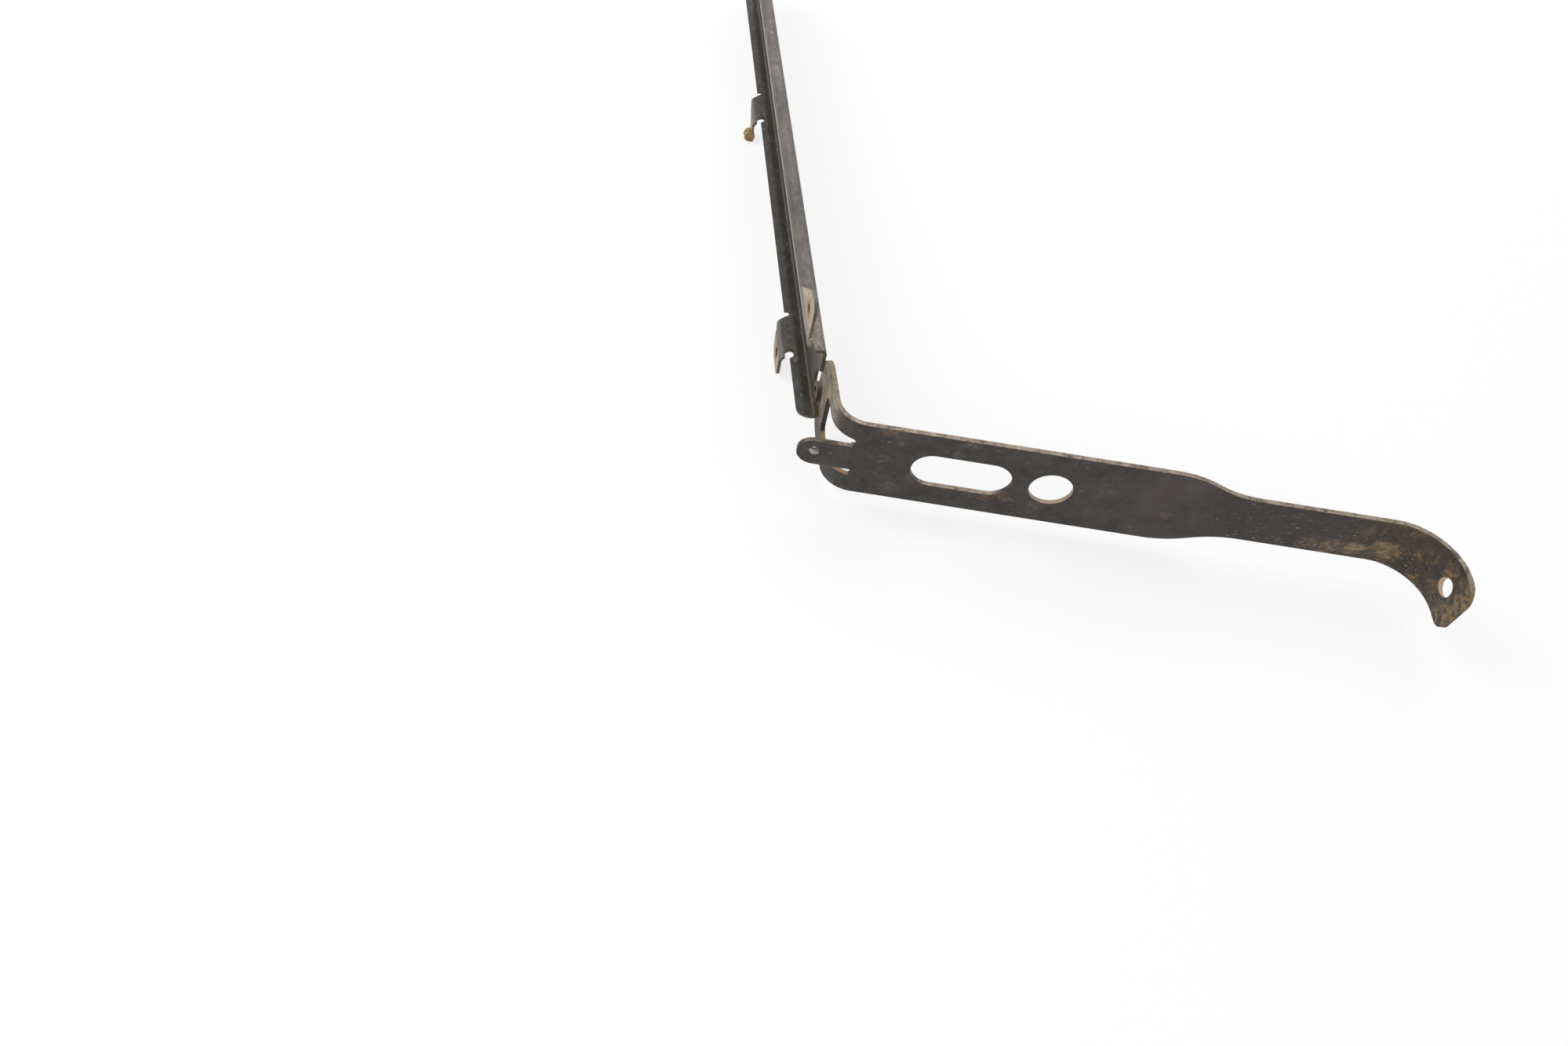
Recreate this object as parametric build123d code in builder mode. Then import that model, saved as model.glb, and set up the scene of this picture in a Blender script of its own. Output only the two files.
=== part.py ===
from build123d import *
import math
import os

os.makedirs("parts", exist_ok=True)

# Sizes in millimetres. The origin is the centre of the arm's round hole, on the arm's front face.
# +X runs along the arm to the hook, +Z is up and +Y points away from the front face.

# Arm plate: one pressed strip with a wing at one end and a hook at the other
arm_sheet = 2.3
arm_height = 46.0
strip_height = 27.4
neck_start = 50.0
neck_length = 42.0
corner_angle = 102.1      # angle in plan between the arm and the rail
corner_inner_radius = 14.0
wing_offset = 100.0       # square distance in plan from the origin to the wing's outer face
wing_lean = 2.4           # the wing and the rail lean, their tops towards the arm
wing_reach = 69.0         # wing's far end, measured along the rail
wing_end_radius = 16.0
hook_reach = 177.0
hook_drop = 35.2
hook_inner_radius = 24.0
hook_top_radius = 9.0
hook_bottom_radius = 5.0

# Holes of the arm plate
round_hole_diameter = 20.0
slot_centre = -41.5
slot_length = 46.8
slot_width = 20.6
hook_hole_diameter = 9.0
hook_hole_drop = 20.7
hook_hole_height = 0.0
hook_hole_bevel = 1.1     # on the back, where the punch broke through

# Tongue that stays straight where the corner bends away, and the window it leaves
tongue_height = 15.5
tongue_tip = -118.0
relief_width = 4.5
relief_end = -91.5
window_reach = 48.5       # window's far edge, measured along the rail
window_corner_radius = 4.0

# Threaded collars pressed out of the sheet
thread_radius = 2.5
collar_radius = 4.5
collar_length = 2.4
thread_lead_in = 0.5
tongue_thread_edge = 8.0  # from the tongue's tip to the thread's centre
tongue_thread_height = 0.8
wing_thread_reach = 63.8
wing_thread_height = -1.0

# Strap rail: a channel of thinner sheet, standing against the wing's outer face
rail_sheet = 1.6
rail_start = 57.0
rail_end = 500.0
rail_top = 22.8
rail_bottom = -13.8
top_flange_width = 8.2
top_lip_depth = 5.0
floor_width = 10.0
crease_width = 6.2        # flat part of the floor, from the web to the crease
crease_drop = 0.9
rail_bend_radius = 3.0
lip_bend_radius = 2.4
crease_bend_radius = 6.0
rail_nose_radius = 7.0

# Front cut-outs of the rail
top_cut_reach = 66.0
lip_start = 75.0          # in front of it the top flange has no lip
lip_run_out = 3.5         # how far its slanted end runs along the rail
web_stub_height = 4.1     # what is left of the web in front of the cut, above the underside
collar_clearance = 6.0

# Strap tabs, bent out and down from the floor's free edge
tab_start = 100.3
tab_root_width = 29.3
tab_pitch = 214.4
tab_overhang = 5.4        # from the floor's free edge to the tab's outer face
tab_slope = 0.34          # fall of the tab between the crease and its bend, for each millimetre outwards
tab_bend_radius = 4.2
tab_shoulder = 1.6        # how far the far side has run in towards the front at the bend
tab_shoulder_fall = 0.8   # how far the shoulder lies above and below the bend
tab_shoulder_radius = 3.0
tab_bottom = -28.6
ear_width = 20.5
ear_near_radius = 3.5
ear_far_radius = 9.0
ear_hole_diameter = 5.5
ear_hole_centre = 9.2     # from the tab's near edge
ear_hole_height = -20.2
near_relief_radius = 2.3
near_relief_depth = 4.4   # how far the near relief cuts into the tab
near_relief_length = 6.4
near_relief_inset = 2.2   # how far the near relief cuts into the floor
near_corner_radius = 1.2  # of the floor in front of the near relief
far_relief_radius = 2.3
far_relief_inset = 2.6    # how far the far relief cuts into the floor

# Broken end of the far tab: only a strip of the ear is left, and it ends in a rusty knob
broken_width = 9.8
broken_fall = 1.8         # how far below the bend its far edge starts
knob_radius = 2.8
knob_bulge = 1.4
knob_width = 6.0

# Upright ear on the top flange
fin_start = 73.2
fin_length = 44.8
fin_height = 19.0
fin_near_slant = 2.6      # its near edge leans forwards towards the top
fin_top_width = 12.0
fin_near_radius = 5.5
fin_far_radius = 12.0
fin_hole_diameter = 4.5
fin_hole_centre = 12.8    # from the fin's near edge
fin_hole_height = 8.0     # above the top flange

# Directions of the leaning wing: along the rail, square to the wing, and up its face
corner = math.radians(corner_angle)
lean = math.radians(wing_lean)
along = Vector(math.cos(corner), math.sin(corner), 0)
level = Vector(math.sin(corner), -math.cos(corner), 0)
across = level * math.cos(lean) - Vector(0, 0, math.sin(lean))
upright = level * math.sin(lean) + Vector(0, 0, math.cos(lean))
fold_line = upright - along * (upright.Y / along.Y)
fold_shift = fold_line.X / fold_line.Z

# Planes of the rail, all through the wing's outer face
wing_origin = level * -wing_offset
section_plane = Plane(origin=wing_origin, x_dir=across, z_dir=-along)
web_plane = Plane(origin=wing_origin, x_dir=along, z_dir=across)
floor_plane = Plane(origin=wing_origin, x_dir=across, z_dir=upright)
bend_plane = Plane(origin=wing_origin, x_dir=along, z_dir=across - upright)


def in_plan(offset_from_wing, reach):
    """Plan point at mid-height, from its offset off the wing and its reach along the rail."""
    point = level * (offset_from_wing - wing_offset) + along * reach
    return (point.X, point.Y)


# Arm plate
half_height = arm_height / 2
half_strip = strip_height / 2
half_tongue = tongue_height / 2
half_window = half_tongue + relief_width
corner_outer_radius = corner_inner_radius + arm_sheet
corner_x = -wing_offset / math.sin(corner)
bend_start = corner_x + corner_outer_radius / math.tan(corner / 2)

with BuildPart() as arm:
    # Wing and corner: their plan is drawn along the outer face and thickened inwards
    with BuildSketch(Plane(origin=(-half_height * fold_shift, 0, -half_height))):
        with BuildLine():
            FilletPolyline(
                in_plan(0, wing_reach),
                (corner_x, 0),
                (0, 0),
                radius=corner_outer_radius,
            )
            offset(amount=arm_sheet, side=Side.LEFT)
        make_face()
    extrude(amount=arm_height / fold_line.Z, dir=fold_line)

    # Straight arm and hook
    with BuildSketch(Plane.XY.offset(-half_height)):
        with BuildLine():
            FilletPolyline(
                (slot_centre, 0),
                (hook_reach, 0),
                (hook_reach, -hook_drop),
                radius=hook_inner_radius,
            )
            offset(amount=arm_sheet, side=Side.LEFT)
        make_face()
    extrude(amount=arm_height)

    # The neck narrows in an S on both edges, and the strip stays narrow to the hook's end
    neck_middle = neck_start + neck_length / 2
    neck_end = neck_start + neck_length
    beyond_hook = hook_reach + arm_height
    for side in (1, -1):
        with BuildSketch(Plane.XZ):
            with BuildLine():
                first = TangentArc(
                    (neck_start, side * half_height),
                    (neck_middle, side * (half_height + half_strip) / 2),
                    tangent=(1, 0),
                )
                TangentArc(first @ 1, (neck_end, side * half_strip), tangent=first % 1)
                Polyline(
                    (neck_end, side * half_strip),
                    (beyond_hook, side * half_strip),
                    (beyond_hook, side * arm_height),
                    (neck_start, side * arm_height),
                    (neck_start, side * half_height),
                )
            make_face()
        extrude(amount=arm_height + hook_drop, both=True, mode=Mode.SUBTRACT)

    # Window through the corner and the wing, with the tongue's root left standing
    relief_round = relief_width / 2
    relief_centre = relief_end - relief_round
    window_root = window_reach - corner_inner_radius
    for root, half_opening in ((relief_centre, half_window), (bend_start, half_tongue)):
        with BuildSketch(Plane.XY.offset(-half_opening)):
            with BuildLine():
                Polyline(
                    (root, -arm_sheet),
                    (root, corner_inner_radius / 2),
                    in_plan(corner_inner_radius, window_root),
                    in_plan(-2 * arm_sheet, window_root),
                    (corner_x - arm_height, -arm_sheet),
                    close=True,
                )
            make_face()
        extrude(amount=2 * half_opening, mode=Mode.SUBTRACT)
    with BuildSketch(web_plane.offset(-arm_sheet)):
        with Locations((window_root, 0)):
            RectangleRounded(2 * corner_inner_radius, 2 * half_window, window_corner_radius)
    extrude(amount=3 * arm_sheet, mode=Mode.SUBTRACT)
    with BuildSketch(Plane.XZ):
        with Locations((relief_centre, half_tongue + relief_round)):
            Circle(relief_round)
        with Locations((relief_centre, -half_tongue - relief_round)):
            Circle(relief_round)
    extrude(amount=2 * arm_sheet, both=True, mode=Mode.SUBTRACT)

    # The tongue itself, flat with the arm
    with BuildSketch(Plane.XZ):
        with Locations((tongue_tip + half_tongue, 0)):
            Circle(half_tongue)
        with Locations(((tongue_tip + half_tongue + bend_start) / 2, 0)):
            Rectangle(bend_start - tongue_tip - half_tongue, tongue_height)
    extrude(amount=-arm_sheet)

    # Rounded free ends
    wing_end_face = arm.faces().sort_by(Axis((0, 0, 0), along))[-1]
    fillet(wing_end_face.edges().sort_by(SortBy.LENGTH)[:2], wing_end_radius)
    hook_end_face = arm.faces().sort_by(Axis.Y)[0]
    hook_corners = hook_end_face.edges().sort_by(SortBy.LENGTH)[:2].sort_by(Axis.Z)
    fillet(hook_corners[1], hook_top_radius)
    hook_end_face = arm.faces().sort_by(Axis.Y)[0]
    hook_corners = hook_end_face.edges().filter_by(GeomType.LINE).filter_by(Axis.X).sort_by(Axis.Z)
    fillet(hook_corners[0], hook_bottom_radius)

    # Slot, round hole and hook hole
    with BuildSketch(Plane.XZ):
        with Locations((slot_centre, 0)):
            SlotOverall(slot_length, slot_width)
        Circle(round_hole_diameter / 2)
    extrude(amount=2 * arm_sheet, both=True, mode=Mode.SUBTRACT)
    with BuildSketch(Plane.YZ.offset(hook_reach)):
        with Locations((-hook_hole_drop, hook_hole_height)):
            Circle(hook_hole_diameter / 2)
    extrude(amount=3 * arm_sheet, both=True, mode=Mode.SUBTRACT)
    with BuildSketch(Plane.YZ.offset(hook_reach + arm_sheet)):
        with Locations((-hook_hole_drop, hook_hole_height)):
            Circle(hook_hole_diameter / 2 + hook_hole_bevel)
    extrude(amount=-hook_hole_bevel, taper=45, mode=Mode.SUBTRACT)

    # Threaded collar behind the tongue
    tongue_thread_x = tongue_tip + tongue_thread_edge
    with BuildSketch(Plane.XZ.offset(-arm_sheet)):
        with Locations((tongue_thread_x, tongue_thread_height)):
            Circle(collar_radius)
    extrude(amount=-collar_length)
    with BuildSketch(Plane.XZ):
        with Locations((tongue_thread_x, tongue_thread_height)):
            Circle(thread_radius)
    extrude(amount=-arm_sheet - collar_length, mode=Mode.SUBTRACT)

    # Threaded collar on the wing's outer face
    with BuildSketch(web_plane):
        with Locations((wing_thread_reach, wing_thread_height)):
            Circle(collar_radius)
    extrude(amount=-collar_length)
    with BuildSketch(web_plane.offset(arm_sheet)):
        with Locations((wing_thread_reach, wing_thread_height)):
            Circle(thread_radius)
    extrude(amount=-arm_sheet - collar_length, mode=Mode.SUBTRACT)

    # Lead-in chamfers at the mouths where a screw enters
    mouths = arm.edges().filter_by(GeomType.CIRCLE)
    mouths = mouths.filter_by(lambda edge: abs(edge.radius - thread_radius) < thread_lead_in / 10)
    tongue_mouth = mouths.sort_by(Axis.Y)[0]
    wing_mouth = mouths.sort_by(Axis((0, 0, 0), along))[-2:].sort_by(Axis((0, 0, 0), level))[-1]
    chamfer([tongue_mouth, wing_mouth], thread_lead_in)

arm.part.label = "arm_plate"


# Strap rail, in the leaning frame of the wing
floor_edge = -floor_width
floor_top = rail_bottom + rail_sheet
crease = -crease_width
tab_face = floor_edge - tab_overhang
root_fall = (floor_edge + floor_top - tab_slope * (crease - floor_edge)) / math.sqrt(2)
bend_fall = (tab_face + floor_top - tab_slope * (crease - tab_face)) / math.sqrt(2)


def strap_tab(near_edge, broken):
    """A tab bent out and down from the floor, from its near edge along the rail."""
    far_edge = near_edge + tab_root_width
    ear_end = near_edge + (broken_width if broken else ear_width)
    ear_fall = bend_fall - (broken_fall if broken else tab_shoulder_fall)
    with BuildPart() as tab:
        with BuildSketch(section_plane.offset(-near_edge)):
            with BuildLine():
                FilletPolyline(
                    (crease, floor_top),
                    (tab_face, floor_top - tab_slope * (crease - tab_face)),
                    (tab_face, tab_bottom),
                    radius=tab_bend_radius,
                )
                offset(amount=rail_sheet, side=Side.LEFT)
            make_face()
        extrude(amount=-tab_root_width)
        # The far side runs in towards the front as the tab turns down, cut square through the bend
        with BuildSketch(bend_plane):
            with BuildLine():
                outline = FilletPolyline(
                    (far_edge, root_fall + tab_root_width),
                    (far_edge, root_fall - tab_shoulder_fall),
                    (far_edge - tab_shoulder, bend_fall + tab_shoulder_fall),
                    (ear_end, ear_fall),
                    (ear_end, bend_fall - tab_root_width),
                    radius=[far_relief_radius, tab_shoulder_radius, tab_shoulder_radius],
                )
                Polyline(
                    outline @ 1,
                    (far_edge + rail_sheet, bend_fall - tab_root_width),
                    (far_edge + rail_sheet, root_fall + tab_root_width),
                    outline @ 0,
                )
            make_face()
        extrude(amount=tab_root_width, both=True, mode=Mode.SUBTRACT)
        if broken:
            # What is left of the ear ends in a knob of rust
            with BuildSketch(section_plane.offset(-near_edge)):
                with Locations((tab_face + rail_sheet / 2 - knob_bulge, tab_bottom + knob_radius)):
                    Circle(knob_radius)
            extrude(amount=-knob_width)
        else:
            # Rounded lower corners of the ear
            for edge, inwards, radius in ((ear_end, -1, ear_far_radius), (near_edge, 1, ear_near_radius)):
                with BuildSketch(web_plane.offset(tab_face - rail_sheet)):
                    with Locations((
                        edge + inwards * (radius - rail_sheet) / 2,
                        tab_bottom + (radius - rail_sheet) / 2,
                    )):
                        Rectangle(radius + rail_sheet, radius + rail_sheet)
                    with Locations((edge + inwards * radius, tab_bottom + radius)):
                        Circle(radius, mode=Mode.SUBTRACT)
                extrude(amount=3 * rail_sheet, mode=Mode.SUBTRACT)
            with BuildSketch(web_plane.offset(tab_face - rail_sheet)):
                with Locations((near_edge + ear_hole_centre, ear_hole_height)):
                    Circle(ear_hole_diameter / 2)
            extrude(amount=3 * rail_sheet, mode=Mode.SUBTRACT)
    return tab.part


tab_starts = [tab_start, tab_start + tab_pitch]
tabs = [strap_tab(tab_starts[0], broken=False), strap_tab(tab_starts[1], broken=True)]

with BuildPart() as rail:
    # The section, drawn along its outside from the floor's free edge to the lip
    with BuildSketch(section_plane.offset(-rail_start)):
        with BuildLine():
            FilletPolyline(
                (floor_edge, rail_bottom - crease_drop),
                (crease, rail_bottom),
                (0, rail_bottom),
                (0, rail_top),
                (-top_flange_width, rail_top),
                (-top_flange_width, rail_top - top_lip_depth),
                radius=[crease_bend_radius, rail_bend_radius, rail_bend_radius, lip_bend_radius],
            )
            offset(amount=rail_sheet, side=Side.LEFT)
        make_face()
    extrude(amount=rail_start - rail_end)

    # Rounded nose of the floor
    nose_point = wing_origin + across * floor_edge + along * rail_start + upright * rail_bottom
    nose = rail.edges().filter_by(lambda edge: abs(edge.tangent_at(0.5).Z) > 0.9)
    fillet(nose.sort_by_distance(nose_point)[0], rail_nose_radius)

    # The top flange and most of the web stop short of the nose
    with BuildSketch(web_plane.offset(rail_sheet)):
        with BuildLine():
            Polyline(
                (rail_start - rail_sheet, rail_bottom + web_stub_height),
                (top_cut_reach, rail_bottom + web_stub_height),
                (top_cut_reach, rail_top + rail_sheet),
                (rail_start - rail_sheet, rail_top + rail_sheet),
                close=True,
            )
        make_face()
    extrude(amount=-floor_width - 2 * rail_sheet, mode=Mode.SUBTRACT)

    # Clearance in the web round the wing's threaded collar
    with BuildSketch(web_plane.offset(rail_sheet)):
        with Locations((wing_thread_reach, wing_thread_height)):
            Circle(collar_radius + collar_clearance)
    extrude(amount=-3 * rail_sheet, mode=Mode.SUBTRACT)

    # The top flange has no lip in front of the fin
    lip_bend = -top_flange_width + lip_bend_radius
    with BuildSketch(floor_plane.offset(rail_top + rail_sheet)):
        with BuildLine():
            Polyline(
                (lip_bend, rail_start),
                (lip_bend, lip_start - lip_run_out),
                (-top_flange_width - rail_sheet, lip_start + lip_run_out / 2),
                (-top_flange_width - rail_sheet, rail_start),
                close=True,
            )
        make_face()
    extrude(amount=-2 * top_lip_depth, mode=Mode.SUBTRACT)

    # Upright ear on the free edge of the top flange
    with BuildSketch(web_plane.offset(-top_flange_width)):
        with BuildLine():
            outline = FilletPolyline(
                (fin_start + fin_near_slant, rail_top - top_lip_depth),
                (fin_start, rail_top + fin_height),
                (fin_start + fin_top_width, rail_top + fin_height),
                (fin_start + fin_length, rail_top - top_lip_depth),
                radius=[fin_near_radius, fin_far_radius],
            )
            Line(outline @ 1, outline @ 0)
        make_face()
        with Locations((fin_start + fin_hole_centre, rail_top + fin_hole_height)):
            Circle(fin_hole_diameter / 2, mode=Mode.SUBTRACT)
    extrude(amount=rail_sheet)

    # The tabs, with a relief at either side of each root
    for tab in tabs:
        add(tab)
    relief_across = floor_edge + near_relief_inset - near_relief_radius
    with BuildSketch(floor_plane.offset(rail_bottom - 2 * tab_bend_radius)):
        for start in tab_starts:
            with Locations((relief_across, start + near_relief_depth - near_relief_length / 2)):
                SlotOverall(near_relief_length, 2 * near_relief_radius, rotation=90)
            with Locations((
                floor_edge + far_relief_inset - far_relief_radius,
                start + tab_root_width + far_relief_radius,
            )):
                Circle(far_relief_radius)
    extrude(amount=3 * tab_bend_radius, mode=Mode.SUBTRACT)

    # Rounded corner of the floor in front of each near relief
    for start in tab_starts:
        reach = start + near_relief_depth - near_relief_length
        point = wing_origin + across * floor_edge + along * reach + upright * rail_bottom
        corners = rail.edges().filter_by(lambda edge: abs(edge.tangent_at(0.5).Z) > 0.9)
        fillet(corners.sort_by_distance(point)[0], near_corner_radius)

rail.part.label = "strap_rail"

export_step(arm.part, "parts/arm_plate.step")
export_step(rail.part, "parts/strap_rail.step")
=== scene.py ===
import math

import bpy
from mathutils import Matrix, Vector


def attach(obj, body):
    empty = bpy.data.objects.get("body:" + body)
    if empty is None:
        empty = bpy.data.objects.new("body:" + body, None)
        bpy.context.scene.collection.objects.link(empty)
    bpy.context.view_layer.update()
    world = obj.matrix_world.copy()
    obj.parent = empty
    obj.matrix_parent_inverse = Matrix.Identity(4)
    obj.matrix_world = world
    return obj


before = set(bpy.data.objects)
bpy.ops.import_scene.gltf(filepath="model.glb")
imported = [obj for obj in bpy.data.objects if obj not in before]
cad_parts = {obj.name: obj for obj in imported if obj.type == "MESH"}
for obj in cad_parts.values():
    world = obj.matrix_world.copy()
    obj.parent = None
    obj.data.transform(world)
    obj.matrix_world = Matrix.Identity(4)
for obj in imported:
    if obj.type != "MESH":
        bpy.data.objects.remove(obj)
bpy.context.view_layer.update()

MM = 0.001

# The bracket's own places, in millimetres, as in the part's source
CORNER = math.radians(102.1)
LEAN = math.radians(2.4)
ALONG = Vector((math.cos(CORNER), math.sin(CORNER), 0))
LEVEL = Vector((math.sin(CORNER), -math.cos(CORNER), 0))
ACROSS = LEVEL * math.cos(LEAN) - Vector((0, 0, math.sin(LEAN)))
UPRIGHT = LEVEL * math.sin(LEAN) + Vector((0, 0, math.cos(LEAN)))
WING_ORIGIN = LEVEL * -100.0


def wing_place(across, along, up):
    """A point given in the leaning frame of the wing and rail, in millimetres."""
    return WING_ORIGIN + ACROSS * across + ALONG * along + UPRIGHT * up


# ---- Node helpers ----

def new_group(name, inputs, outputs):
    """An empty shader node group with its sockets, its input node and its output node."""
    group = bpy.data.node_groups.new(name, "ShaderNodeTree")
    for label, kind, value in inputs:
        socket = group.interface.new_socket(label, in_out="INPUT", socket_type=kind)
        if value is not None:
            socket.default_value = value
    for label, kind in outputs:
        group.interface.new_socket(label, in_out="OUTPUT", socket_type=kind)
    return group, group.nodes.new("NodeGroupInput"), group.nodes.new("NodeGroupOutput")


def join(tree, source, target):
    """Link an output to an input, or write a plain value into the input."""
    if isinstance(source, bpy.types.NodeSocket):
        tree.links.new(source, target)
    else:
        target.default_value = source


def maths(tree, operation, first, second=0.0):
    node = tree.nodes.new("ShaderNodeMath")
    node.operation = operation
    join(tree, first, node.inputs[0])
    join(tree, second, node.inputs[1])
    return node.outputs[0]


def vector_maths(tree, operation, first, second):
    node = tree.nodes.new("ShaderNodeVectorMath")
    node.operation = operation
    join(tree, first, node.inputs[0])
    join(tree, second, node.inputs[1])
    return node.outputs["Vector"]


def blend_colours(tree, factor, first, second):
    node = tree.nodes.new("ShaderNodeMix")
    node.data_type = "RGBA"
    join(tree, factor, node.inputs[0])
    join(tree, first, node.inputs[6])
    join(tree, second, node.inputs[7])
    return node.outputs[2]


def noise(tree, place, scale, detail=4.0, rough=0.55, warp=0.0):
    node = tree.nodes.new("ShaderNodeTexNoise")
    node.inputs["Detail"].default_value = detail
    node.inputs["Roughness"].default_value = rough
    node.inputs["Distortion"].default_value = warp
    join(tree, place, node.inputs["Vector"])
    join(tree, scale, node.inputs["Scale"])
    return node.outputs["Fac"]


def stretched(tree, place, turn, size):
    """The place turned and then scaled, so that a pattern runs in one direction."""
    for label, value in (("Rotation", turn), ("Scale", size)):
        node = tree.nodes.new("ShaderNodeMapping")
        join(tree, place, node.inputs["Vector"])
        node.inputs[label].default_value = value
        place = node.outputs["Vector"]
    return place


def step(tree, value, low, high):
    """0 below low, 1 above high and smooth between; low above high turns it round."""
    node = tree.nodes.new("ShaderNodeMapRange")
    node.interpolation_type = "SMOOTHSTEP"
    join(tree, value, node.inputs["Value"])
    if isinstance(low, float) and isinstance(high, float) and low > high:
        node.inputs["To Min"].default_value = 1.0
        node.inputs["To Max"].default_value = 0.0
        low, high = high, low
    join(tree, low, node.inputs["From Min"])
    join(tree, high, node.inputs["From Max"])
    return node.outputs["Result"]


def srgb(red, green, blue):
    """Screen colour from 0 to 255 as a linear colour."""
    channels = [value / 255 for value in (red, green, blue)]
    linear = [c / 12.92 if c <= 0.04045 else ((c + 0.055) / 1.055) ** 2.4 for c in channels]
    return (*linear, 1.0)


# ---- Shared effects ----

BROAD_SHARE = 0.65      # of the broad blotches; the close ones have the rest
CLOSE_FACTOR = 5.3      # how much smaller the close blotches are
FLECK_LEAST = 0.13      # radius of the smallest fleck, in cells of its pattern
FLECK_SPREAD = 0.34     # what the largest one has more
FLECK_RAGGED = 1.3      # how far a fleck's outline wanders, in cells


def blotch_group():
    """Two sizes of soft blotches that shift a sheet's colour between dark, plain and pale."""
    group, start, end = new_group(
        "sheet_blotches",
        [("Place", "NodeSocketVector", None),
         ("Plain", "NodeSocketColor", (0.2, 0.2, 0.2, 1)),
         ("Dark", "NodeSocketColor", (0.1, 0.1, 0.1, 1)),
         ("Pale", "NodeSocketColor", (0.4, 0.4, 0.4, 1)),
         ("Scale", "NodeSocketFloat", 60.0), ("Amount", "NodeSocketFloat", 0.6)],
        [("Color", "NodeSocketColor"), ("Height", "NodeSocketFloat")])
    place, amount = start.outputs["Place"], start.outputs["Amount"]
    broad = noise(group, place, start.outputs["Scale"], 5.0, 0.6, 0.6)
    close_scale = maths(group, "MULTIPLY", start.outputs["Scale"], CLOSE_FACTOR)
    close = noise(group, place, close_scale, 6.0, 0.65, 0.3)
    broad_part = maths(group, "MULTIPLY", broad, BROAD_SHARE)
    mixed = maths(group, "ADD", broad_part, maths(group, "MULTIPLY", close, 1 - BROAD_SHARE))
    dark = maths(group, "MULTIPLY", step(group, mixed, 0.52, 0.38), amount)
    pale = maths(group, "MULTIPLY", step(group, mixed, 0.52, 0.66), amount)
    colour = blend_colours(group, dark, start.outputs["Plain"], start.outputs["Dark"])
    colour = blend_colours(group, pale, colour, start.outputs["Pale"])
    group.links.new(colour, end.inputs["Color"])
    group.links.new(close, end.inputs["Height"])
    return group


def fleck_group():
    """Scattered flecks of mixed size and ragged outline; Tone differs from fleck to fleck."""
    group, start, end = new_group(
        "scattered_flecks",
        [("Place", "NodeSocketVector", None), ("Scale", "NodeSocketFloat", 700.0),
         ("Share", "NodeSocketFloat", 0.3)],
        [("Mask", "NodeSocketFloat"), ("Tone", "NodeSocketFloat")])
    place, scale = start.outputs["Place"], start.outputs["Scale"]
    ragged = group.nodes.new("ShaderNodeTexNoise")
    ragged.inputs["Detail"].default_value = 3.0
    group.links.new(place, ragged.inputs["Vector"])
    group.links.new(maths(group, "MULTIPLY", scale, 1.7), ragged.inputs["Scale"])
    off = vector_maths(group, "SUBTRACT", ragged.outputs["Color"], (0.5, 0.5, 0.5))
    shift = group.nodes.new("ShaderNodeVectorMath")
    shift.operation = "SCALE"
    group.links.new(off, shift.inputs[0])
    group.links.new(maths(group, "DIVIDE", FLECK_RAGGED, scale), shift.inputs["Scale"])
    cells = group.nodes.new("ShaderNodeTexVoronoi")
    moved = vector_maths(group, "ADD", place, shift.outputs["Vector"])
    group.links.new(moved, cells.inputs["Vector"])
    group.links.new(scale, cells.inputs["Scale"])
    chance = group.nodes.new("ShaderNodeSeparateColor")
    group.links.new(cells.outputs["Color"], chance.inputs[0])
    mostly_small = maths(group, "POWER", chance.outputs[1], 2.0)
    size = maths(group, "ADD", maths(group, "MULTIPLY", mostly_small, FLECK_SPREAD), FLECK_LEAST)
    spot = step(group, maths(group, "DIVIDE", cells.outputs["Distance"], size), 1.0, 0.5)
    left_out = maths(group, "SUBTRACT", 1.0, start.outputs["Share"])
    there = maths(group, "GREATER_THAN", chance.outputs[0], left_out)
    group.links.new(maths(group, "MULTIPLY", spot, there), end.inputs["Mask"])
    group.links.new(chance.outputs[2], end.inputs["Tone"])
    return group


def stain_group():
    """A ragged stain round one place: full near its centre and broken up into grit at its rim."""
    group, start, end = new_group(
        "ragged_stain",
        [("Place", "NodeSocketVector", None), ("Grain", "NodeSocketVector", None),
         ("Centre", "NodeSocketVector", (0, 0, 0)), ("Reach", "NodeSocketFloat", 0.01),
         ("Ragged", "NodeSocketFloat", 0.8), ("Grit", "NodeSocketFloat", 0.5)],
        [("Mask", "NodeSocketFloat")])
    place, grain = start.outputs["Place"], start.outputs["Grain"]
    gap = group.nodes.new("ShaderNodeVectorMath")
    gap.operation = "DISTANCE"
    group.links.new(place, gap.inputs[0])
    group.links.new(start.outputs["Centre"], gap.inputs[1])
    share = maths(group, "DIVIDE", gap.outputs["Value"], start.outputs["Reach"])
    wobble = maths(group, "SUBTRACT", noise(group, grain, 420.0, 5.0, 0.7), 0.5)
    twice = maths(group, "MULTIPLY", start.outputs["Ragged"], 2.0)
    share = maths(group, "ADD", share, maths(group, "MULTIPLY", wobble, twice))
    grains = step(group, noise(group, grain, 1300.0, 4.0, 0.75), 0.60, 0.46)
    held_back = maths(group, "MULTIPLY", grains, start.outputs["Grit"])
    kept = maths(group, "SUBTRACT", 1.0, held_back)
    body = maths(group, "MULTIPLY", step(group, share, 1.0, 0.35), kept)
    group.links.new(body, end.inputs["Mask"])
    return group


BLOTCHES = blotch_group()
FLECKS = fleck_group()
STAIN = stain_group()


def use(tree, group, **values):
    """Place a shared group in a material with its own values."""
    node = tree.nodes.new("ShaderNodeGroup")
    node.node_tree = group
    for label, value in values.items():
        join(tree, value, node.inputs[label])
    return node


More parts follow.
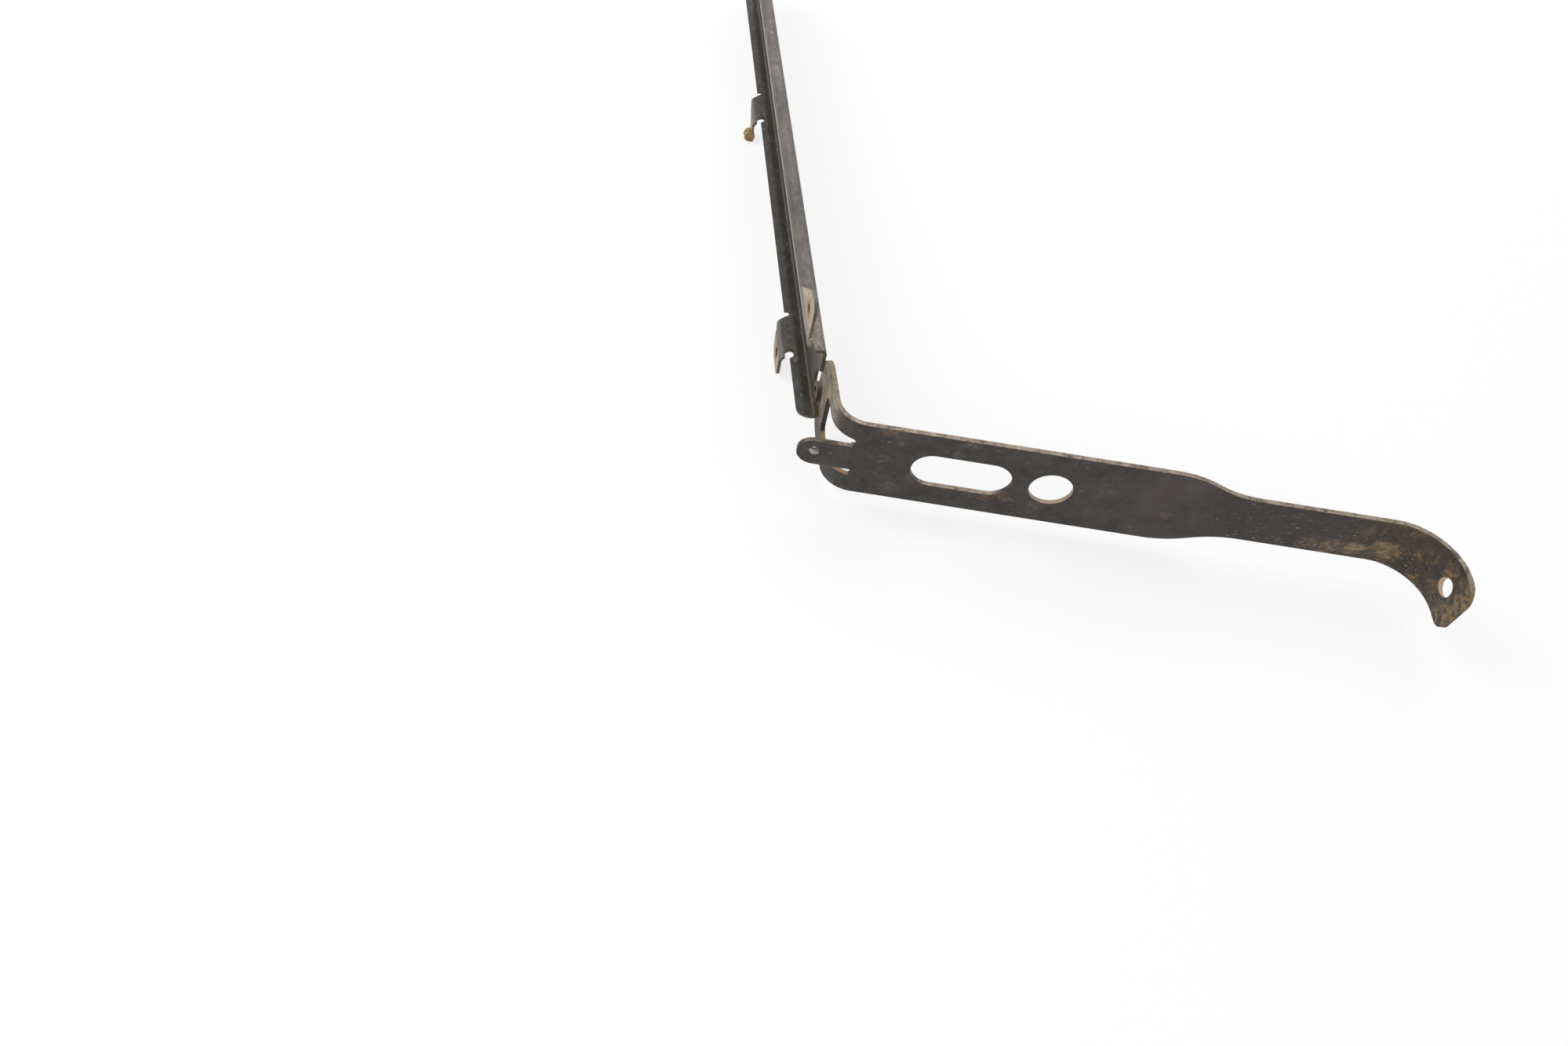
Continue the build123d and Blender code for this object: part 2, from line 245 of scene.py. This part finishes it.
def new_material(name):
    material = bpy.data.materials.new(name)
    material.use_nodes = True
    tree = material.node_tree
    shader = tree.nodes["Principled BSDF"]
    texture = tree.nodes.new("ShaderNodeTexCoord")
    return material, tree, shader, texture


def bump(tree, shader, height, strength, distance):
    node = tree.nodes.new("ShaderNodeBump")
    node.inputs["Strength"].default_value = strength
    node.inputs["Distance"].default_value = distance
    join(tree, height, node.inputs["Height"])
    tree.links.new(node.outputs["Normal"], shader.inputs["Normal"])


def axes_of(tree, vector):
    node = tree.nodes.new("ShaderNodeSeparateXYZ")
    tree.links.new(vector, node.inputs[0])
    return node.outputs


# ---- Stains: centre and reach in metres, tint, how ragged, how gritty ----

HOOK_DIRT = (
    ((0.1230, 0.0, -0.0090), 0.0060, srgb(140, 114, 84), 1.4, 1.0),
    ((0.1330, 0.0, -0.0088), 0.0070, srgb(150, 122, 90), 1.4, 0.9),
    ((0.1440, 0.0, -0.0070), 0.0055, srgb(176, 148, 112), 1.2, 0.6),
    ((0.1570, -0.001, -0.0050), 0.0080, srgb(158, 130, 92), 1.4, 0.8))

ARM_RUST = (
    ((-0.0205, 0.0, -0.0095), 0.0045, srgb(132, 102, 68), 1.2, 0.9),
    ((-0.0270, 0.0, -0.0118), 0.0045, srgb(132, 102, 68), 1.2, 0.9),
    ((-0.0350, 0.0, -0.0122), 0.0040, srgb(118, 94, 66), 1.2, 1.0),
    ((-0.0780, 0.0, 0.0228), 0.0060, srgb(142, 112, 82), 1.2, 0.9),
    ((-0.0405, 0.0, 0.0228), 0.0055, srgb(146, 122, 94), 1.2, 0.9),
    ((-0.0727, 0.0, -0.0161), 0.0060, srgb(120, 106, 84), 1.2, 0.9),
    ((0.0545, 0.0, -0.0054), 0.0040, srgb(120, 98, 76), 1.2, 0.9))

WING_RUST = (
    ((-0.1145, 0.0415, -0.0010), 0.0086, srgb(70, 50, 31), 0.5, 0.25),
    ((-0.1125, 0.0330, -0.0075), 0.0060, srgb(148, 112, 68), 0.8, 0.6),
    ((-0.1085, 0.0240, 0.0130), 0.0070, srgb(152, 118, 76), 1.2, 0.5),
    ((-0.1060, 0.0120, 0.0100), 0.0070, srgb(92, 84, 76), 1.0, 0.3))

RAIL_RUST = (
    ((-0.1176, 0.0570, 0.0228), 0.0160, srgb(152, 138, 118), 1.0, 0.75),
    ((-0.1812, 0.2860, -0.0252), 0.0075, srgb(172, 138, 88), 0.35, 0.3),
    ((-0.1812, 0.2870, -0.0200), 0.0060, srgb(154, 132, 106), 0.6, 0.5),
    ((-0.1119, 0.0390, -0.0060), 0.0075, srgb(96, 70, 40), 0.8, 0.4),
    ((-0.1170, 0.0480, 0.0120), 0.0080, srgb(84, 66, 46), 0.9, 0.5),
    ((-0.1240, 0.0617, 0.0270), 0.0060, srgb(176, 138, 104), 0.6, 0.6),
    ((-0.1228, 0.0617, 0.0303), 0.0066, srgb(92, 62, 34), 0.6, 0.0),
    ((-0.1366, 0.0827, -0.0195), 0.0052, srgb(84, 62, 42), 0.5, 0.0),
    ((-0.1255, 0.0723, -0.0122), 0.0022, srgb(108, 101, 68), 1.4, 0.4),
    ((-0.1190, 0.1300, 0.0228), 0.0100, srgb(150, 130, 120), 0.9, 0.8))

# Holes with a tinted wall: centre and reach in metres, tint
ROUND_HOLE = ((0.0, 0.0012, 0.0), 0.0112, srgb(150, 130, 106))
HOOK_HOLE = ((0.1775, -0.0207, 0.0), 0.0056, srgb(196, 164, 138))

# Where the arm changes, in metres, each from none to full
BLOOM_FADES = (0.07, -0.02)         # along X
HAZE_GROWS = (-0.01, 0.05)
NECK_BEGINS = (0.060, 0.085)
FLAT_PART_ENDS = (0.075, 0.055)
HOOK_BEGINS = (0.145, 0.185)
HOOK_SIDE_BEGINS = (0.14, 0.15)
TONGUE_BEGINS = (-0.098, -0.101)
WINDOW_BEGINS = (-0.070, -0.090)
HOOK_TAIL_BEGINS = (-0.021, -0.031)     # along Y
WING_BEGINS = (0.003, 0.010)
WING_TOP_BEGINS = (0.004, 0.014)
TONGUE_DEPTH = (0.008, 0.006)
WING_FOOT = (-0.014, -0.002)        # along Z
WINDOW_FOOT = (-0.004, -0.0115)
STREAKS_DENSER = (0.012, -0.010)

# Heights where the rail changes, in metres, each from none to full
CHANNEL_TOP = (0.019, 0.016)
FLOOR_TOP = (0.002, -0.006)
TAB_SLOPE = (-0.0136, -0.0146)
FLANGE = (0.014, 0.018)
LIP_FOOT = (0.0176, 0.0180)
LIP_HIGHLIGHT_TOP = (0.0197, 0.0190)
LOWER_EARS = (-0.0150, -0.0185)
UPPER_EAR = (0.0236, 0.0246)
LIP_BEGINS = (0.056, 0.062)         # along Y

# Parts of a face's direction, each from none to full
UPWARDS = (0.75, 0.95)
DOWNWARDS = (-0.75, -0.95)


# ---- Materials ----

def stains(tree, place, grain, colour, spots, strength=0.85):
    """Lay ragged stains over a colour, each given as in the tables above."""
    for centre, reach, tint, ragged, grit in spots:
        stain = use(tree, STAIN, Place=place, Grain=grain, Centre=centre, Reach=reach,
                    Ragged=ragged, Grit=grit)
        mask = maths(tree, "MULTIPLY", stain.outputs["Mask"], strength)
        colour = blend_colours(tree, mask, colour, tint)
    return colour


def product(tree, *masks):
    """Several masks multiplied together, so that only what they share is left."""
    result = masks[0]
    for mask in masks[1:]:
        result = maths(tree, "MULTIPLY", result, mask)
    return result


def flecked(tree, colour, place, scale, share, where, pale, dark):
    """Scatter flecks of two tones over a colour."""
    flecks = use(tree, FLECKS, Place=place, Scale=scale, Share=share)
    tint = blend_colours(tree, flecks.outputs["Tone"], dark, pale)
    mask = product(tree, flecks.outputs["Mask"], where)
    return blend_colours(tree, mask, colour, tint), mask


def arm_steel():
    """Near-black brown grey sheet with thin tan cut edges that carry a painted highlight where they
    face up, a dusty wing and an olive-brown hook.
    """
    material, tree, shader, texture = new_material("arm_weathered_steel")
    place, facing = texture.outputs["Object"], texture.outputs["Normal"]
    x, y, z = axes_of(tree, place)
    turn_x, turn_y, turn_z = axes_of(tree, facing)
    streaks = stretched(tree, place, (0.0, 0.08, 0.0), (0.34, 1.0, 1.0))

    sheet = use(tree, BLOTCHES, Place=place, Plain=srgb(54, 49, 44), Dark=srgb(37, 33, 29),
                Pale=srgb(72, 67, 62), Scale=75.0, Amount=0.9)
    colour = sheet.outputs["Color"]

    # Cold grey bloom from the corner to just past the round hole, and a warmer haze beyond it
    bloom = step(tree, noise(tree, place, 120.0, 6.0, 0.7), 0.53, 0.72)
    bloom = product(tree, bloom, step(tree, x, *BLOOM_FADES), 0.7)
    colour = blend_colours(tree, bloom, colour, srgb(92, 93, 89))
    haze = step(tree, noise(tree, place, 34.0, 3.0, 0.5, 0.4), 0.48, 0.66)
    haze = product(tree, haze, step(tree, x, *HAZE_GROWS), 0.4)
    colour = blend_colours(tree, haze, colour, srgb(76, 63, 57))

    # The neck is nearly black with fine tan streaks, and the hook olive brown with golden mottling
    neck = step(tree, x, *NECK_BEGINS)
    colour = blend_colours(tree, product(tree, neck, 0.8), colour, srgb(44, 38, 33))
    drift = maths(tree, "MULTIPLY", noise(tree, place, 90.0), 0.05)
    hook_dirt = step(tree, maths(tree, "ADD", x, drift), *HOOK_BEGINS)
    dirt = use(tree, BLOTCHES, Place=place, Plain=srgb(54, 43, 28), Dark=srgb(29, 23, 15),
               Pale=srgb(114, 90, 56), Scale=130.0, Amount=1.0)
    colour = blend_colours(tree, hook_dirt, colour, dirt.outputs["Color"])

    # Gritty tan and ochre patches
    colour = stains(tree, place, streaks, colour, HOOK_DIRT, 0.8)
    colour = stains(tree, place, streaks, colour, ARM_RUST, 0.6)
    patchy = step(tree, noise(tree, place, 260.0), 0.40, 0.62)
    tail = product(tree, step(tree, y, *HOOK_TAIL_BEGINS), patchy)
    colour = blend_colours(tree, product(tree, tail, 0.75), colour, srgb(140, 112, 74))

    # Flecks: sparse and cold on the arm, dense and tan on the neck and hook
    gathered = step(tree, noise(tree, place, 70.0, 3.0, 0.6), 0.46, 0.60)
    on_flat = product(tree, gathered, step(tree, x, *FLAT_PART_ENDS), 0.65)
    colour, arm_flecks = flecked(tree, colour, streaks, 900.0, 0.3, on_flat,
                                 srgb(134, 126, 116), srgb(106, 88, 68))
    lower_down = maths(tree, "MULTIPLY", step(tree, z, *STREAKS_DENSER), 0.55)
    on_neck = product(tree, neck, maths(tree, "ADD", lower_down, 0.4))
    colour, neck_flecks = flecked(tree, colour, streaks, 1050.0, 0.6, on_neck,
                                  srgb(168, 140, 112), srgb(96, 74, 54))

    # The wing beyond the corner is dusty and paler
    on_wing = product(tree, step(tree, y, *WING_BEGINS), step(tree, z, *WING_FOOT))
    outward = step(tree, turn_x, -0.35, -0.8)
    dusty = use(tree, BLOTCHES, Place=place, Plain=srgb(108, 94, 76), Dark=srgb(66, 54, 39),
                Pale=srgb(142, 132, 118), Scale=95.0, Amount=1.0)
    colour = blend_colours(tree, product(tree, on_wing, outward), colour, dusty.outputs["Color"])
    colour = stains(tree, place, streaks, colour, WING_RUST)

    # Cut edges: tan and gritty with a painted highlight where they face up, darker on the tongue,
    # dull where they face down
    upward = step(tree, turn_z, *UPWARDS)
    edge = use(tree, BLOTCHES, Place=place, Plain=srgb(138, 123, 106), Dark=srgb(74, 61, 49),
               Pale=srgb(172, 158, 143), Scale=210.0, Amount=1.0)
    colour = blend_colours(tree, upward, colour, edge.outputs["Color"])
    colour, _ = flecked(tree, colour, streaks, 700.0, 0.4, product(tree, upward, 0.8),
                        srgb(150, 108, 72), srgb(58, 48, 40))
    wing_top = product(tree, upward, step(tree, y, *WING_TOP_BEGINS))
    colour = blend_colours(tree, product(tree, wing_top, 0.55), colour, srgb(98, 82, 62))
    tongue_top = product(tree, upward, step(tree, x, *TONGUE_BEGINS), step(tree, y, *TONGUE_DEPTH))
    colour = blend_colours(tree, product(tree, tongue_top, 0.8), colour, srgb(78, 69, 60))
    low_edge = product(tree, upward, step(tree, z, *WINDOW_FOOT), step(tree, x, *WINDOW_BEGINS))
    colour = blend_colours(tree, product(tree, low_edge, 0.8), colour, srgb(140, 106, 60))
    downward = step(tree, turn_z, *DOWNWARDS)
    colour = blend_colours(tree, product(tree, downward, 0.5), colour, srgb(86, 79, 72))
    # Painted shade on the hook's right-facing edges, in the hook's dark dirt brown
    hook_side_shade_and_dirt = product(tree, step(tree, turn_x, 0.35, 0.7), step(tree, x, *HOOK_SIDE_BEGINS))
    colour = blend_colours(tree, product(tree, hook_side_shade_and_dirt, 0.85), colour, srgb(60, 47, 34))

    # Walls of two holes: the faces near each centre that don't face along the bore
    for (centre, reach, tint), axis in ((ROUND_HOLE, turn_y), (HOOK_HOLE, turn_x)):
        ring = tree.nodes.new("ShaderNodeVectorMath")
        ring.operation = "DISTANCE"
        tree.links.new(place, ring.inputs[0])
        ring.inputs[1].default_value = centre
        inside = step(tree, ring.outputs["Value"], reach, reach * 0.97)
        wall = product(tree, inside, step(tree, maths(tree, "ABSOLUTE", axis), 0.6, 0.3))
        colour = blend_colours(tree, wall, colour, tint)
    tree.links.new(colour, shader.inputs["Base Color"])

    raised = maths(tree, "ADD", arm_flecks, neck_flecks)
    shine = step(tree, sheet.outputs["Height"], 0.35, 0.65)
    smooth = maths(tree, "ADD", maths(tree, "MULTIPLY", shine, 0.18), 0.44)
    rough = maths(tree, "ADD", smooth, maths(tree, "MULTIPLY", raised, 0.2))
    tree.links.new(rough, shader.inputs["Roughness"])
    covered = maths(tree, "MAXIMUM", maths(tree, "MAXIMUM", hook_dirt, upward), on_wing)
    bare = maths(tree, "SUBTRACT", 0.3, maths(tree, "MULTIPLY", covered, 0.2))
    tree.links.new(bare, shader.inputs["Metallic"])
    bump(tree, shader, maths(tree, "ADD", sheet.outputs["Height"], raised), 0.35, 0.0004)
    return material


def rail_steel():
    """Thinner sheet: warm grey on top, painted shade with grime in the channel, a painted highlight
    along the lip, pale on the ears.
    """
    material, tree, shader, texture = new_material("rail_weathered_steel")
    place, facing = texture.outputs["Object"], texture.outputs["Normal"]
    _, y, z = axes_of(tree, place)
    turn_x, turn_y, turn_z = axes_of(tree, facing)
    run = stretched(tree, place, (0.0, 0.0, math.pi / 2 - CORNER), (1.0, 0.4, 1.0))
    up, left = step(tree, turn_z, 0.5, 0.85), step(tree, turn_x, -0.4, -0.8)

    sheet = use(tree, BLOTCHES, Place=run, Plain=srgb(86, 79, 73), Dark=srgb(62, 56, 50),
                Pale=srgb(108, 101, 96), Scale=85.0, Amount=0.8)
    colour = sheet.outputs["Color"]

    # Inside the channel: painted shade with grime on the web and bend, and on the floor with grey
    # patches
    channel_shade_and_grime = product(tree, step(tree, z, *CHANNEL_TOP), step(tree, turn_x, 0.05, -0.25), 0.9)
    colour = blend_colours(tree, channel_shade_and_grime, colour, srgb(54, 49, 43))
    # The floor: painted shade from the flange overhead, with grime
    floor_shade_and_grime = use(tree, BLOTCHES, Place=place, Plain=srgb(60, 55, 48), Dark=srgb(42, 38, 32),
                Pale=srgb(82, 81, 80), Scale=140.0, Amount=0.9)
    on_floor = product(tree, step(tree, z, *FLOOR_TOP), up)
    colour = blend_colours(tree, on_floor, colour, floor_shade_and_grime.outputs["Color"])
    on_slope = product(tree, step(tree, z, *TAB_SLOPE), step(tree, turn_z, 0.2, 0.5))
    colour = blend_colours(tree, product(tree, on_slope, 0.8), colour, srgb(104, 97, 92))

    # Top flange, a painted highlight line along its lip, the upright ear and the bent-down ears
    flange = use(tree, BLOTCHES, Place=run, Plain=srgb(86, 79, 73), Dark=srgb(64, 58, 52),
                 Pale=srgb(108, 100, 94), Scale=110.0, Amount=0.9)
    on_flange = product(tree, step(tree, z, *FLANGE), up)
    colour = blend_colours(tree, on_flange, colour, flange.outputs["Color"])
    lip_highlight = product(tree, step(tree, z, *LIP_FOOT), step(tree, z, *LIP_HIGHLIGHT_TOP),
                     step(tree, y, *LIP_BEGINS), left)
    colour = blend_colours(tree, lip_highlight, colour, srgb(164, 153, 143))
    pale = use(tree, BLOTCHES, Place=place, Plain=srgb(156, 136, 111), Dark=srgb(112, 88, 62),
               Pale=srgb(182, 169, 153), Scale=150.0, Amount=0.8)
    on_ears = maths(tree, "MAXIMUM", step(tree, z, *LOWER_EARS), step(tree, z, *UPPER_EAR))
    colour = blend_colours(tree, product(tree, on_ears, left), colour, pale.outputs["Color"])

    # Cut ends that face the front are brown
    cut_end = product(tree, step(tree, turn_y, -0.6, -0.85), 0.8)
    colour = blend_colours(tree, cut_end, colour, srgb(88, 74, 55))

    # Rust and dirt in their places
    colour = stains(tree, place, run, colour, RAIL_RUST)
    gathered = step(tree, noise(tree, place, 60.0, 3.0, 0.6), 0.46, 0.62)
    colour, flecks = flecked(tree, colour, run, 700.0, 0.25, product(tree, gathered, 0.7),
                             srgb(190, 182, 172), srgb(128, 104, 80))
    tree.links.new(colour, shader.inputs["Base Color"])

    shine = step(tree, sheet.outputs["Height"], 0.35, 0.65)
    rough = maths(tree, "ADD", maths(tree, "MULTIPLY", shine, 0.2), 0.40)
    tree.links.new(rough, shader.inputs["Roughness"])
    shader.inputs["Metallic"].default_value = 0.2
    bump(tree, shader, maths(tree, "ADD", sheet.outputs["Height"], flecks), 0.3, 0.0004)
    return material


def rust_material(name, plain, dark, pale):
    """Crumbly rust in three tones."""
    material, tree, shader, texture = new_material(name)
    place = texture.outputs["Object"]
    crust = use(tree, BLOTCHES, Place=place, Plain=plain, Dark=dark, Pale=pale,
                Scale=420.0, Amount=1.0)
    tree.links.new(crust.outputs["Color"], shader.inputs["Base Color"])
    shader.inputs["Roughness"].default_value = 0.9
    bump(tree, shader, crust.outputs["Height"], 0.9, 0.0008)
    return material


def bright_thread():
    """Worn steel of the two threads, blotched with oil-dark patches."""
    material, tree, shader, texture = new_material("worn_thread_steel")
    place = texture.outputs["Object"]
    worn = use(tree, BLOTCHES, Place=place, Plain=srgb(172, 166, 158), Dark=srgb(74, 66, 54),
               Pale=srgb(226, 222, 216), Scale=500.0, Amount=1.0)
    tree.links.new(worn.outputs["Color"], shader.inputs["Base Color"])
    shader.inputs["Roughness"].default_value = 0.35
    shader.inputs["Metallic"].default_value = 0.8
    bump(tree, shader, worn.outputs["Height"], 0.3, 0.0003)
    return material


# ---- Mesh helpers ----

def deselect():
    if bpy.context.object and bpy.context.object.mode != "OBJECT":
        bpy.ops.object.mode_set(mode="OBJECT")
    bpy.ops.object.select_all(action="DESELECT")


def settle(piece, name, material, smooth=40.0):
    """Put the object at the origin with its place in its mesh, and give it its finish."""
    deselect()
    bpy.context.view_layer.objects.active = piece
    piece.select_set(True)
    bpy.ops.object.transform_apply(location=True, rotation=True, scale=True)
    bpy.ops.object.shade_smooth_by_angle(angle=math.radians(smooth))
    piece.name = name
    piece.data.name = name
    piece.data.materials.clear()
    piece.data.materials.append(material)
    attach(piece, "root")
    return piece


def apply_modifiers(piece):
    deselect()
    bpy.context.view_layer.objects.active = piece
    piece.select_set(True)
    for modifier in list(piece.modifiers):
        bpy.ops.object.modifier_apply(modifier=modifier.name)


# ---- Threads in the two collars ----

THREAD_PITCH = 1.0
THREAD_CORE = 2.5         # radius of the bore
THREAD_CREST = 2.12       # radius of the ridge's tip
THREAD_SINK = 0.06        # how far the ridge's foot runs into the wall
THREAD_HALF_FOOT = 0.4
THREAD_START = 0.7        # from the bore's mouth to the first turn
THREAD_BARE = 0.9         # length of the bore that has no turn
COLLAR_BORE = 4.7         # length of each collar's bore
STEPS_PER_TURN = 40


def thread(name, mouth, inwards, material):
    """The ridge of a screw thread: a small three-cornered section wound along the bore's axis."""
    deselect()
    bpy.ops.mesh.primitive_circle_add(vertices=3, radius=MM, fill_type="NOTHING",
                                      location=(0, 0, 0))
    ridge = bpy.context.object
    foot = THREAD_CORE + THREAD_SINK
    corners = ((THREAD_CREST, 0.0), (foot, THREAD_HALF_FOOT), (foot, -THREAD_HALF_FOOT))
    for vertex, (radius, height) in zip(ridge.data.vertices, corners):
        vertex.co = (radius * MM, 0.0, height * MM)
    turns = int((COLLAR_BORE - THREAD_BARE) / THREAD_PITCH)
    screw = ridge.modifiers.new("wind", "SCREW")
    screw.axis = "Z"
    screw.angle = 2 * math.pi * turns
    screw.screw_offset = THREAD_PITCH * turns * MM
    screw.steps = screw.render_steps = STEPS_PER_TURN * turns
    screw.use_merge_vertices = False
    apply_modifiers(ridge)
    bpy.ops.object.mode_set(mode="EDIT")
    bpy.ops.mesh.select_all(action="SELECT")
    bpy.ops.mesh.remove_doubles(threshold=1e-6)
    bpy.ops.mesh.select_all(action="DESELECT")
    bpy.ops.mesh.select_non_manifold()
    bpy.ops.mesh.edge_face_add()
    bpy.ops.mesh.select_all(action="SELECT")
    bpy.ops.mesh.normals_make_consistent(inside=False)
    bpy.ops.object.mode_set(mode="OBJECT")
    turn = Vector((0, 0, 1)).rotation_difference(inwards)
    beginning = Matrix.Translation((mouth + inwards * THREAD_START) * MM)
    ridge.matrix_world = beginning @ turn.to_matrix().to_4x4()
    return settle(ridge, name, material, 30.0)


# ---- Rust lumps ----

LOWEST = -27.95   # height that no lump goes below, just above the bracket's own lowest point


def rust_lump(name, centre, size, squareness, material, seed, strength):
    """A small crumbly lump: a ball drawn towards a barrel and roughened by a cloud pattern."""
    deselect()
    bpy.ops.mesh.primitive_ico_sphere_add(subdivisions=5, radius=1.0, location=(0, 0, 0))
    lump = bpy.context.object
    shift = Vector((seed, seed * 0.7, 0))   # reads another part of the cloud pattern
    for vertex in lump.data.vertices:
        round_part, length_part = math.hypot(vertex.co.x, vertex.co.z), abs(vertex.co.y)
        vertex.co /= (round_part ** squareness + length_part ** squareness) ** (1 / squareness)
        vertex.co += shift
    clouds = bpy.data.textures.new(name + "_clouds", "CLOUDS")
    clouds.noise_scale = 0.45
    clouds.noise_depth = 4
    rough = lump.modifiers.new("roughen", "DISPLACE")
    rough.texture = clouds
    rough.texture_coords = "LOCAL"
    rough.strength = strength
    rough.mid_level = 0.3
    apply_modifiers(lump)
    for vertex in lump.data.vertices:
        vertex.co -= shift
    turn = Matrix((ACROSS, ALONG, UPRIGHT)).transposed().to_4x4()
    scale = Matrix.Diagonal((size[0] * MM, size[1] * MM, size[2] * MM, 1))
    lump.matrix_world = Matrix.Translation(centre * MM) @ turn @ scale
    settle(lump, name, material, 60.0)
    for vertex in lump.data.vertices:
        vertex.co.z = max(vertex.co.z, LOWEST * MM)
    return lump


# ---- Dressing the bracket ----

def dress():
    finishes = {"arm_plate": arm_steel(), "strap_rail": rail_steel()}
    for node, finish in finishes.items():
        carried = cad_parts[node]
        for index in range(len(carried.data.materials)):
            carried.data.materials[index] = finish
        if not carried.data.materials:
            carried.data.materials.append(finish)

    steel = bright_thread()
    thread("tongue_thread", Vector((-110.0, 0.0, 0.8)), Vector((0, 1, 0)), steel)
    thread("wing_thread", wing_place(2.3, 63.8, -1.0), -ACROSS, steel)

    rust = rust_material("ochre_rust", srgb(176, 146, 100), srgb(116, 84, 48), srgb(202, 174, 132))
    dark_rust = rust_material("dark_rust", srgb(104, 76, 42), srgb(52, 38, 22), srgb(160, 124, 76))
    rust_lump("tab_rust_knob", wing_place(-16.3, 317.2, -25.2), (3.1, 3.3, 3.1), 6, rust,
              3.0, 0.4)
    rust_lump("wing_collar_rust", wing_place(-2.2, 60.6, -4.2), (1.1, 1.6, 1.3), 2, dark_rust,
              9.0, 0.6)


# ---- Camera, floor and light ----

PHOTO_WIDTH = 1999          # pixels
FOCAL_LENGTH = 1300         # pixels
SENSOR = 36.0
CAMERA_PLACE = Vector((-115.3, -312.4, 349.9))
CAMERA_RIGHT = Vector((0.9877, 0.1275, 0.0902))
CAMERA_BACK = Vector((0.0064, -0.6101, 0.7923))

FLOOR_HEIGHT = -28.05
FLOOR_SIZE = 12.0           # metres
FLOOR_FADES = (0.45, 0.95)  # metres from the middle, where the shadow gives way to the backdrop
FLOOR_GLOW = 0.76           # share of plain white near the bracket; it reaches 1 further off

WORLD_LIGHT = 0.55
AIM = (-0.05, 0.1, 0.0)
SOFTBOXES = (               # name, place and size in metres, watts
    ("left_softbox", (-1.6, 0.4, 1.2), (1.4, 1.4), 22.0),
    ("back_softbox", (0.3, 1.8, 1.6), (1.8, 1.2), 16.0),
    ("front_softbox", (0.4, -1.8, 1.5), (1.6, 1.2), 8.0))


def set_camera():
    """The photo's viewpoint: above and to the left of the arm, a little rolled."""
    right = CAMERA_RIGHT.normalized()
    back = (CAMERA_BACK - right * CAMERA_BACK.dot(right)).normalized()
    up = back.cross(right)
    data = bpy.data.cameras.new("photo_camera")
    data.sensor_width = SENSOR
    data.lens = SENSOR * FOCAL_LENGTH / PHOTO_WIDTH
    data.clip_start = 0.01
    data.clip_end = 20.0
    camera = bpy.data.objects.new("photo_camera", data)
    bpy.context.collection.objects.link(camera)
    turn = Matrix((right, up, back)).transposed().to_4x4()
    camera.matrix_world = Matrix.Translation(CAMERA_PLACE * MM) @ turn
    bpy.context.scene.camera = camera


def white_to_camera(tree):
    """1 where the eye, a gloss reflection or glass looks straight at the surface."""
    path = tree.nodes.new("ShaderNodeLightPath")
    seen = maths(tree, "MAXIMUM", path.outputs["Is Camera Ray"], path.outputs["Is Glossy Ray"])
    return maths(tree, "MAXIMUM", seen, path.outputs["Is Transmission Ray"])


def lay_floor():
    """A plain white floor that keeps the bracket's soft shadow and melts into the backdrop."""
    deselect()
    bpy.ops.mesh.primitive_plane_add(size=FLOOR_SIZE, location=(0, 0, FLOOR_HEIGHT * MM))
    floor = bpy.context.object
    floor.name = "floor"
    material = bpy.data.materials.new("white_floor")
    material.use_nodes = True
    tree = material.node_tree
    shader = tree.nodes["Principled BSDF"]
    shader.inputs["Base Color"].default_value = (0.96, 0.96, 0.96, 1)
    shader.inputs["Roughness"].default_value = 0.9
    shader.inputs["Specular IOR Level"].default_value = 0.0
    glow = tree.nodes.new("ShaderNodeEmission")
    glow.inputs["Strength"].default_value = 1.0
    mix = tree.nodes.new("ShaderNodeMixShader")
    texture = tree.nodes.new("ShaderNodeTexCoord")
    spread = tree.nodes.new("ShaderNodeVectorMath")
    spread.operation = "LENGTH"
    tree.links.new(texture.outputs["Object"], spread.inputs[0])
    far_off = step(tree, spread.outputs["Value"], *FLOOR_FADES)
    glow_share = maths(tree, "MULTIPLY", far_off, 1 - FLOOR_GLOW)
    share = product(tree, white_to_camera(tree), maths(tree, "ADD", glow_share, FLOOR_GLOW))
    tree.links.new(share, mix.inputs[0])
    tree.links.new(shader.outputs[0], mix.inputs[1])
    tree.links.new(glow.outputs[0], mix.inputs[2])
    tree.links.new(mix.outputs[0], tree.nodes["Material Output"].inputs["Surface"])
    floor.data.materials.append(material)


def add_softbox(name, place, size, power):
    data = bpy.data.lights.new(name, "AREA")
    data.shape = "RECTANGLE"
    data.size, data.size_y = size
    data.energy = power
    lamp = bpy.data.objects.new(name, data)
    bpy.context.collection.objects.link(lamp)
    lamp.location = place
    lamp.rotation_euler = (Vector(AIM) - Vector(place)).to_track_quat("-Z", "Y").to_euler()


def set_light():
    world = bpy.data.worlds.new("studio")
    bpy.context.scene.world = world
    world.use_nodes = True
    tree = world.node_tree
    background = tree.nodes["Background"]
    background.inputs["Color"].default_value = (1, 1, 1, 1)
    extra = maths(tree, "MULTIPLY", white_to_camera(tree), 1 - WORLD_LIGHT)
    tree.links.new(maths(tree, "ADD", extra, WORLD_LIGHT), background.inputs["Strength"])
    for name, place, size, power in SOFTBOXES:
        add_softbox(name, place, size, power)


dress()
set_camera()
lay_floor()
set_light()
bpy.context.scene.view_settings.view_transform = "Standard"
